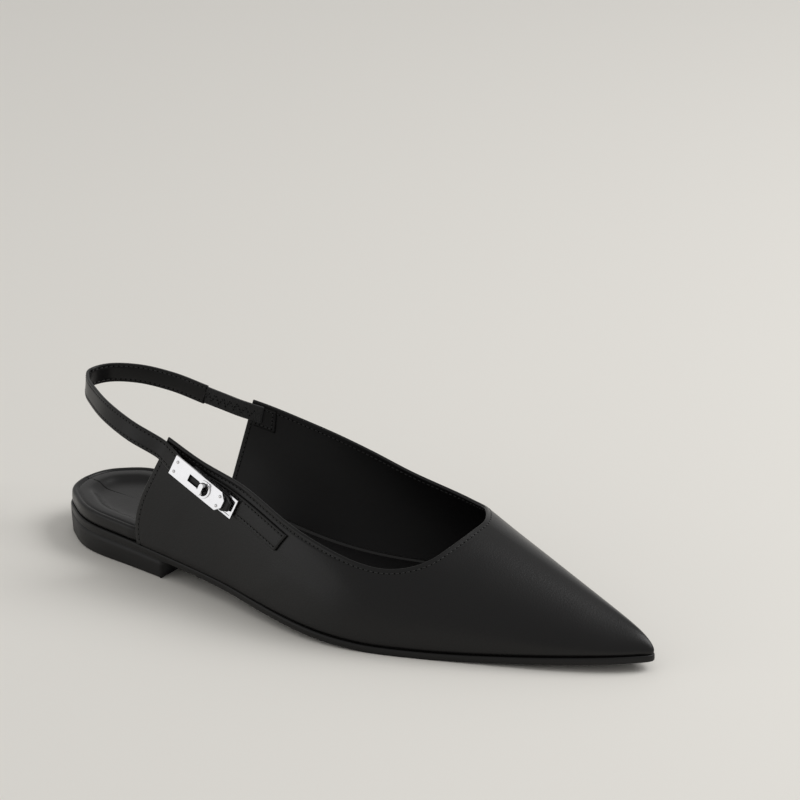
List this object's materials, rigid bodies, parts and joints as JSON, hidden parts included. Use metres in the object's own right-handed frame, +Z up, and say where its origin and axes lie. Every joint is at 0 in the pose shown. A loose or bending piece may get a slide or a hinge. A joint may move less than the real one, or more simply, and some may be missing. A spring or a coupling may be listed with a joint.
{
  "type": "slingback shoe",
  "caption": "Flat slingback shoe with a pointed toe, an open heel, a back strap with an elastic and a turn-lock clasp, right foot.",
  "frame": {"origin": "middle of the heel block's foot, on the floor", "axes": "+X from the heel to the toe tip, +Y to the medial side, +Z up from the floor"},
  "size_m": [0.2738, 0.086, 0.0639],
  "materials": {
    "leather": "smooth calf, satin gloss",
    "sole": "painted edge, low gloss",
    "elastic": "woven, dull",
    "metal": "polished"
  },
  "bodies": {
    "shoe": {"outsole": "sole", "heel": "sole", "insole": "leather", "upper": "leather", "clasp_tab": "leather", "back_strap": "leather", "elastic": "elastic", "elastic_patch": "leather", "clasp_base": "metal", "clasp_plate": "metal", "rivet_back_low": "metal", "rivet_back_high": "metal", "rivet_front_low": "metal", "rivet_front_high": "metal"},
    "turn_knob": {"turn_knob": "metal"}
  },
  "joints": [
    {"name": "knob_turn", "type": "hinge", "parent": "shoe", "child": "turn_knob", "pos_m": [0.05498, -0.02749, 0.04263], "axis": [-0.1135, -0.9503, 0.2899], "range_deg": [0, 90]}
  ]
}
